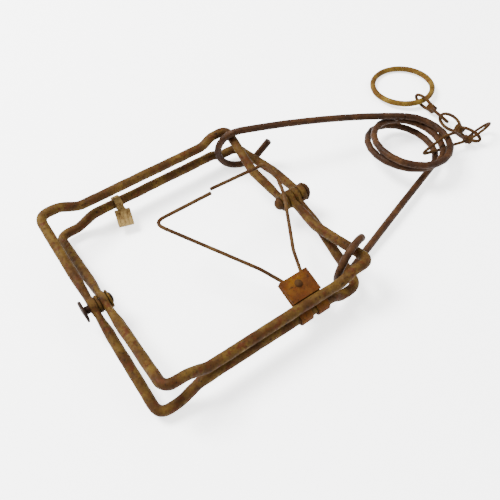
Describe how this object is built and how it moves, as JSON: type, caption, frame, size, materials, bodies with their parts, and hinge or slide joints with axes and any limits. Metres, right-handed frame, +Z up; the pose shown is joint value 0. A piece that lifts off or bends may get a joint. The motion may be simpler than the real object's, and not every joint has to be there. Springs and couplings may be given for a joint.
{
  "type": "body grip trap",
  "caption": "Rusty rod-frame body-grip trap lying sprung on its side, with a torsion spring, wire trigger, latch dog and a short wire chain with a ring.",
  "frame": {"origin": "middle of the footprint at ground height, with the trap lying on its spring eyes", "axes": "+X along the jaw hinge towards the spring and chain, +Y across the jaws to the side where the dog hangs, +Z up"},
  "size_m": [0.2718, 0.1276, 0.0348],
  "materials": {
    "jaw_rust": "matt olive and brown rust, finely pitted",
    "dark_rivet": "near-black rust",
    "rivet_rust": "dark brown rust",
    "spring_rust": "dark purplish brown rust, slightly smoother than the jaws",
    "plate_rust": "orange-brown rust with darker patches",
    "wire_rust": "brown rust",
    "dog_metal": "pale worn metal with tan rust",
    "chain_rust": "red-brown rust",
    "ring_rust": "golden brown rust"
  },
  "bodies": {
    "jaw_a": {"jaw_a": "jaw_rust", "left_rivet": "dark_rivet", "left_middle_washer": "jaw_rust", "left_inner_washer": "jaw_rust"},
    "pin": {"right_rivet": "rivet_rust", "right_washer": "rivet_rust"},
    "jaw_b": {"jaw_b": "jaw_rust"},
    "spring": {"spring_coil": "spring_rust"},
    "arm_far": {"spring_arm_far": "spring_rust"},
    "arm_near": {"spring_arm_near": "spring_rust"},
    "trigger": {"trigger_top_plate": "plate_rust", "trigger_bottom_plate": "plate_rust", "trigger_rivet": "rivet_rust", "trigger_wire_long": "wire_rust", "trigger_wire_short": "wire_rust"},
    "dog": {"dog": "dog_metal"},
    "coil_link": {"coil_link": "chain_rust"},
    "link_middle": {"chain_link_middle": "chain_rust"},
    "link_outer": {"chain_link_outer": "chain_rust"},
    "ring": {"end_ring": "ring_rust"}
  },
  "joints": [
    {"name": "jaw_open", "type": "hinge", "parent": "jaw_a", "child": "jaw_b", "pos_m": [-0.07067, -0.00058, 0.015], "axis": [-1, 0, 0], "range_deg": [0, 145], "stiffness_Nm_per_rad": 0.02, "springref_deg": -28.65, "deforming": ["spring_arm_far", "spring_arm_near"]},
    {"name": "spring_swing", "type": "hinge", "parent": "jaw_a", "child": "pin", "pos_m": [-0.07067, -0.00058, 0.015], "axis": [-1, 0, 0], "range_deg": [0, 72.5]},
    {"name": "coil_slide", "type": "slide", "parent": "pin", "child": "spring", "axis": [1, 0, 0], "range_m": [0, 0.0143]},
    {"name": "far_arm_squeeze", "type": "hinge", "parent": "spring", "child": "arm_far", "pos_m": [0.07183, -0.00838, 0.015], "axis": [0.0499, 0, 0.9988], "range_deg": [0, 25.9]},
    {"name": "near_arm_squeeze", "type": "hinge", "parent": "spring", "child": "arm_near", "pos_m": [0.06853, -0.00178, 0.015], "axis": [0, 0, -1], "range_deg": [0, 28.9]},
    {"name": "trigger_swing", "type": "hinge", "parent": "jaw_a", "child": "trigger", "pos_m": [-0.04617, -0.05998, 0.0117], "axis": [1, 0, 0], "range_deg": [-8, 1]},
    {"name": "dog_swing", "type": "hinge", "parent": "jaw_b", "child": "dog", "pos_m": [-0.08967, 0.05532, 0.0098], "axis": [1, 0, 0], "range_deg": [-75, 6]},
    {"name": "coil_link_swing", "type": "hinge", "parent": "spring", "child": "coil_link", "pos_m": [0.09033, -0.01638, 0.0117], "axis": [0.1498, 0.9887, 0], "range_deg": [-2.5, 2.5]},
    {"name": "middle_link_swing", "type": "hinge", "parent": "coil_link", "child": "link_middle", "pos_m": [0.11553, -0.02008, 0.0046], "axis": [0, 0, 1], "range_deg": [-8, 8]},
    {"name": "outer_link_swing", "type": "hinge", "parent": "link_middle", "child": "link_outer", "pos_m": [0.11233, 0.00322, 0.0043], "axis": [0, 0, 1], "range_deg": [-10, 10]},
    {"name": "ring_swing", "type": "hinge", "parent": "link_outer", "child": "ring", "pos_m": [0.11373, 0.02332, 0.0043], "axis": [1, 0, 0], "range_deg": [-3, 8]}
  ],
  "couplings": [
    {"joint": "spring_swing", "follows": "jaw_open", "ratio": 0.5},
    {"joint": "coil_slide", "follows": "jaw_open", "m_per_rad": 0.00565},
    {"joint": "far_arm_squeeze", "follows": "jaw_open", "ratio": 0.178},
    {"joint": "near_arm_squeeze", "follows": "jaw_open", "ratio": 0.199}
  ]
}
